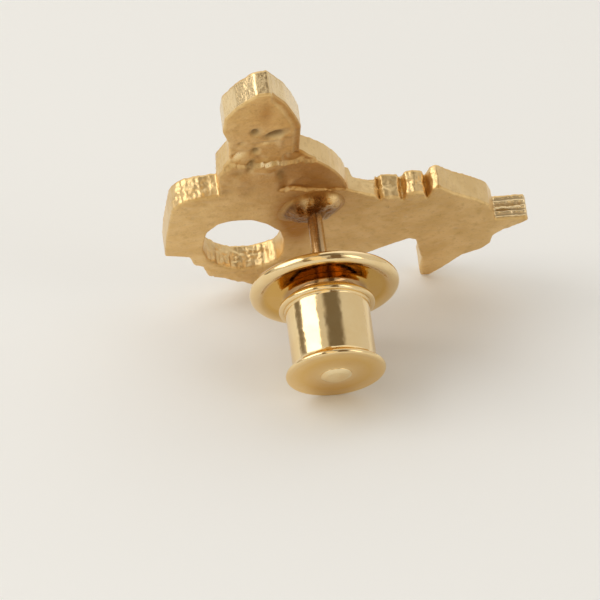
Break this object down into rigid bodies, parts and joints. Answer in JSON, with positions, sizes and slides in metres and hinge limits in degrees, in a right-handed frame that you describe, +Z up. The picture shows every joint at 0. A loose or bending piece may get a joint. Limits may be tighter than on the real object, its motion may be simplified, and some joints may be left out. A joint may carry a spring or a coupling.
{
  "type": "tie tack",
  "caption": "Gold-tone cast emblem with a soldered post, held by a pull-to-release ball-lock clutch with a wide rolled flange and a flared cap.",
  "frame": {"origin": "middle of the bottom of the whole object's box, on the table it rests on", "axes": "+Z up, +X across the emblem with its notched arm on the +X side, the post points towards -Y and 34 degrees below the horizontal"},
  "size_m": [0.0282, 0.023, 0.0278],
  "materials": {
    "cast_gold": "satin, as cast, with bright filed edges",
    "polished_gold": "polished pale gold plate",
    "solder": "heat-darkened solder",
    "post_gold": "drawn wire, gold plated",
    "cage_metal": "polished pale gold plate",
    "steel": "bright steel"
  },
  "bodies": {
    "emblem": {"emblem_casting": "cast_gold", "solder_joint": "solder", "post": "post_gold"},
    "clutch": {"front_plate": "polished_gold", "flange_dish": "polished_gold", "taper_housing": "polished_gold", "spring_retainer": "steel"},
    "spring": {"release_spring": "steel"},
    "cap": {"pull_cap": "polished_gold", "ball_cage": "cage_metal"},
    "ball_a": {"ball_1": "steel"},
    "ball_b": {"ball_2": "steel"},
    "ball_c": {"ball_3": "steel"}
  },
  "joints": [
    {"name": "clutch_slide", "type": "slide", "parent": "emblem", "child": "clutch", "axis": [0, -0.829, -0.5592], "range_m": [-0.0041, 0.0035]},
    {"name": "cap_turn", "type": "hinge", "parent": "clutch", "child": "spring", "pos_m": [-0.0031, 0.00231, 0.01098], "axis": [0, -0.829, -0.5592], "continuous": true},
    {"name": "cap_pull", "type": "slide", "parent": "spring", "child": "cap", "axis": [0, -0.829, -0.5592], "range_m": [0, 0.001], "stiffness_N_per_m": 800, "springref_m": -0.001, "deforming": ["release_spring"]},
    {"name": "ball_a_slide", "type": "slide", "parent": "cap", "child": "ball_a", "axis": [0, -0.5592, 0.829], "range_m": [0, 0.00025]},
    {"name": "ball_b_slide", "type": "slide", "parent": "cap", "child": "ball_b", "axis": [-0.866, 0.2796, -0.4145], "range_m": [0, 0.00025]},
    {"name": "ball_c_slide", "type": "slide", "parent": "cap", "child": "ball_c", "axis": [0.866, 0.2796, -0.4145], "range_m": [0, 0.00025]}
  ],
  "couplings": [
    {"joint": "ball_a_slide", "follows": "cap_pull", "ratio": 0.21256},
    {"joint": "ball_b_slide", "follows": "cap_pull", "ratio": 0.21256},
    {"joint": "ball_c_slide", "follows": "cap_pull", "ratio": 0.21256}
  ]
}
